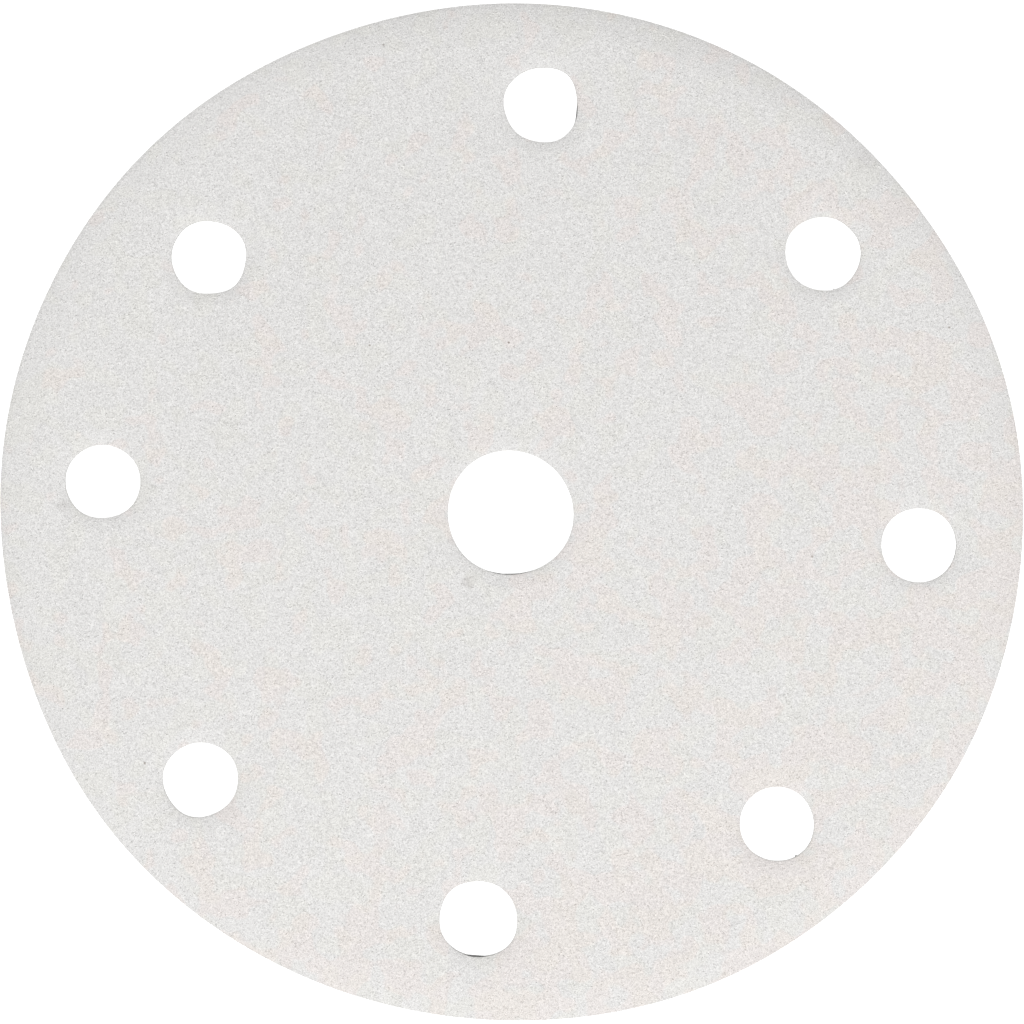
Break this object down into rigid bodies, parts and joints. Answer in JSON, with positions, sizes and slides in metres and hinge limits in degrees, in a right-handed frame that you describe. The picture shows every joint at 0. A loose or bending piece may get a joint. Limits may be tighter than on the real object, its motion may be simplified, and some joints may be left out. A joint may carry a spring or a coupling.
{
  "type": "hook and loop sanding disc",
  "caption": "Round white paper-backed abrasive disc with a loop fabric back, a centre hole and a ring of dust extraction holes around it.",
  "frame": {"origin": "middle of the loop face, where the disc lies on a table or grips a backing pad", "axes": "+Z out of the grain face, +Y towards the dust hole at the top of the view, +X to its right"},
  "size_m": [0.15, 0.15, 0.0017],
  "materials": {
    "grain_coat": "matte",
    "loop_pile": "matte"
  },
  "bodies": {
    "root": {"abrasive_paper": "grain_coat", "loop_fabric": "loop_pile"}
  },
  "joints": []
}
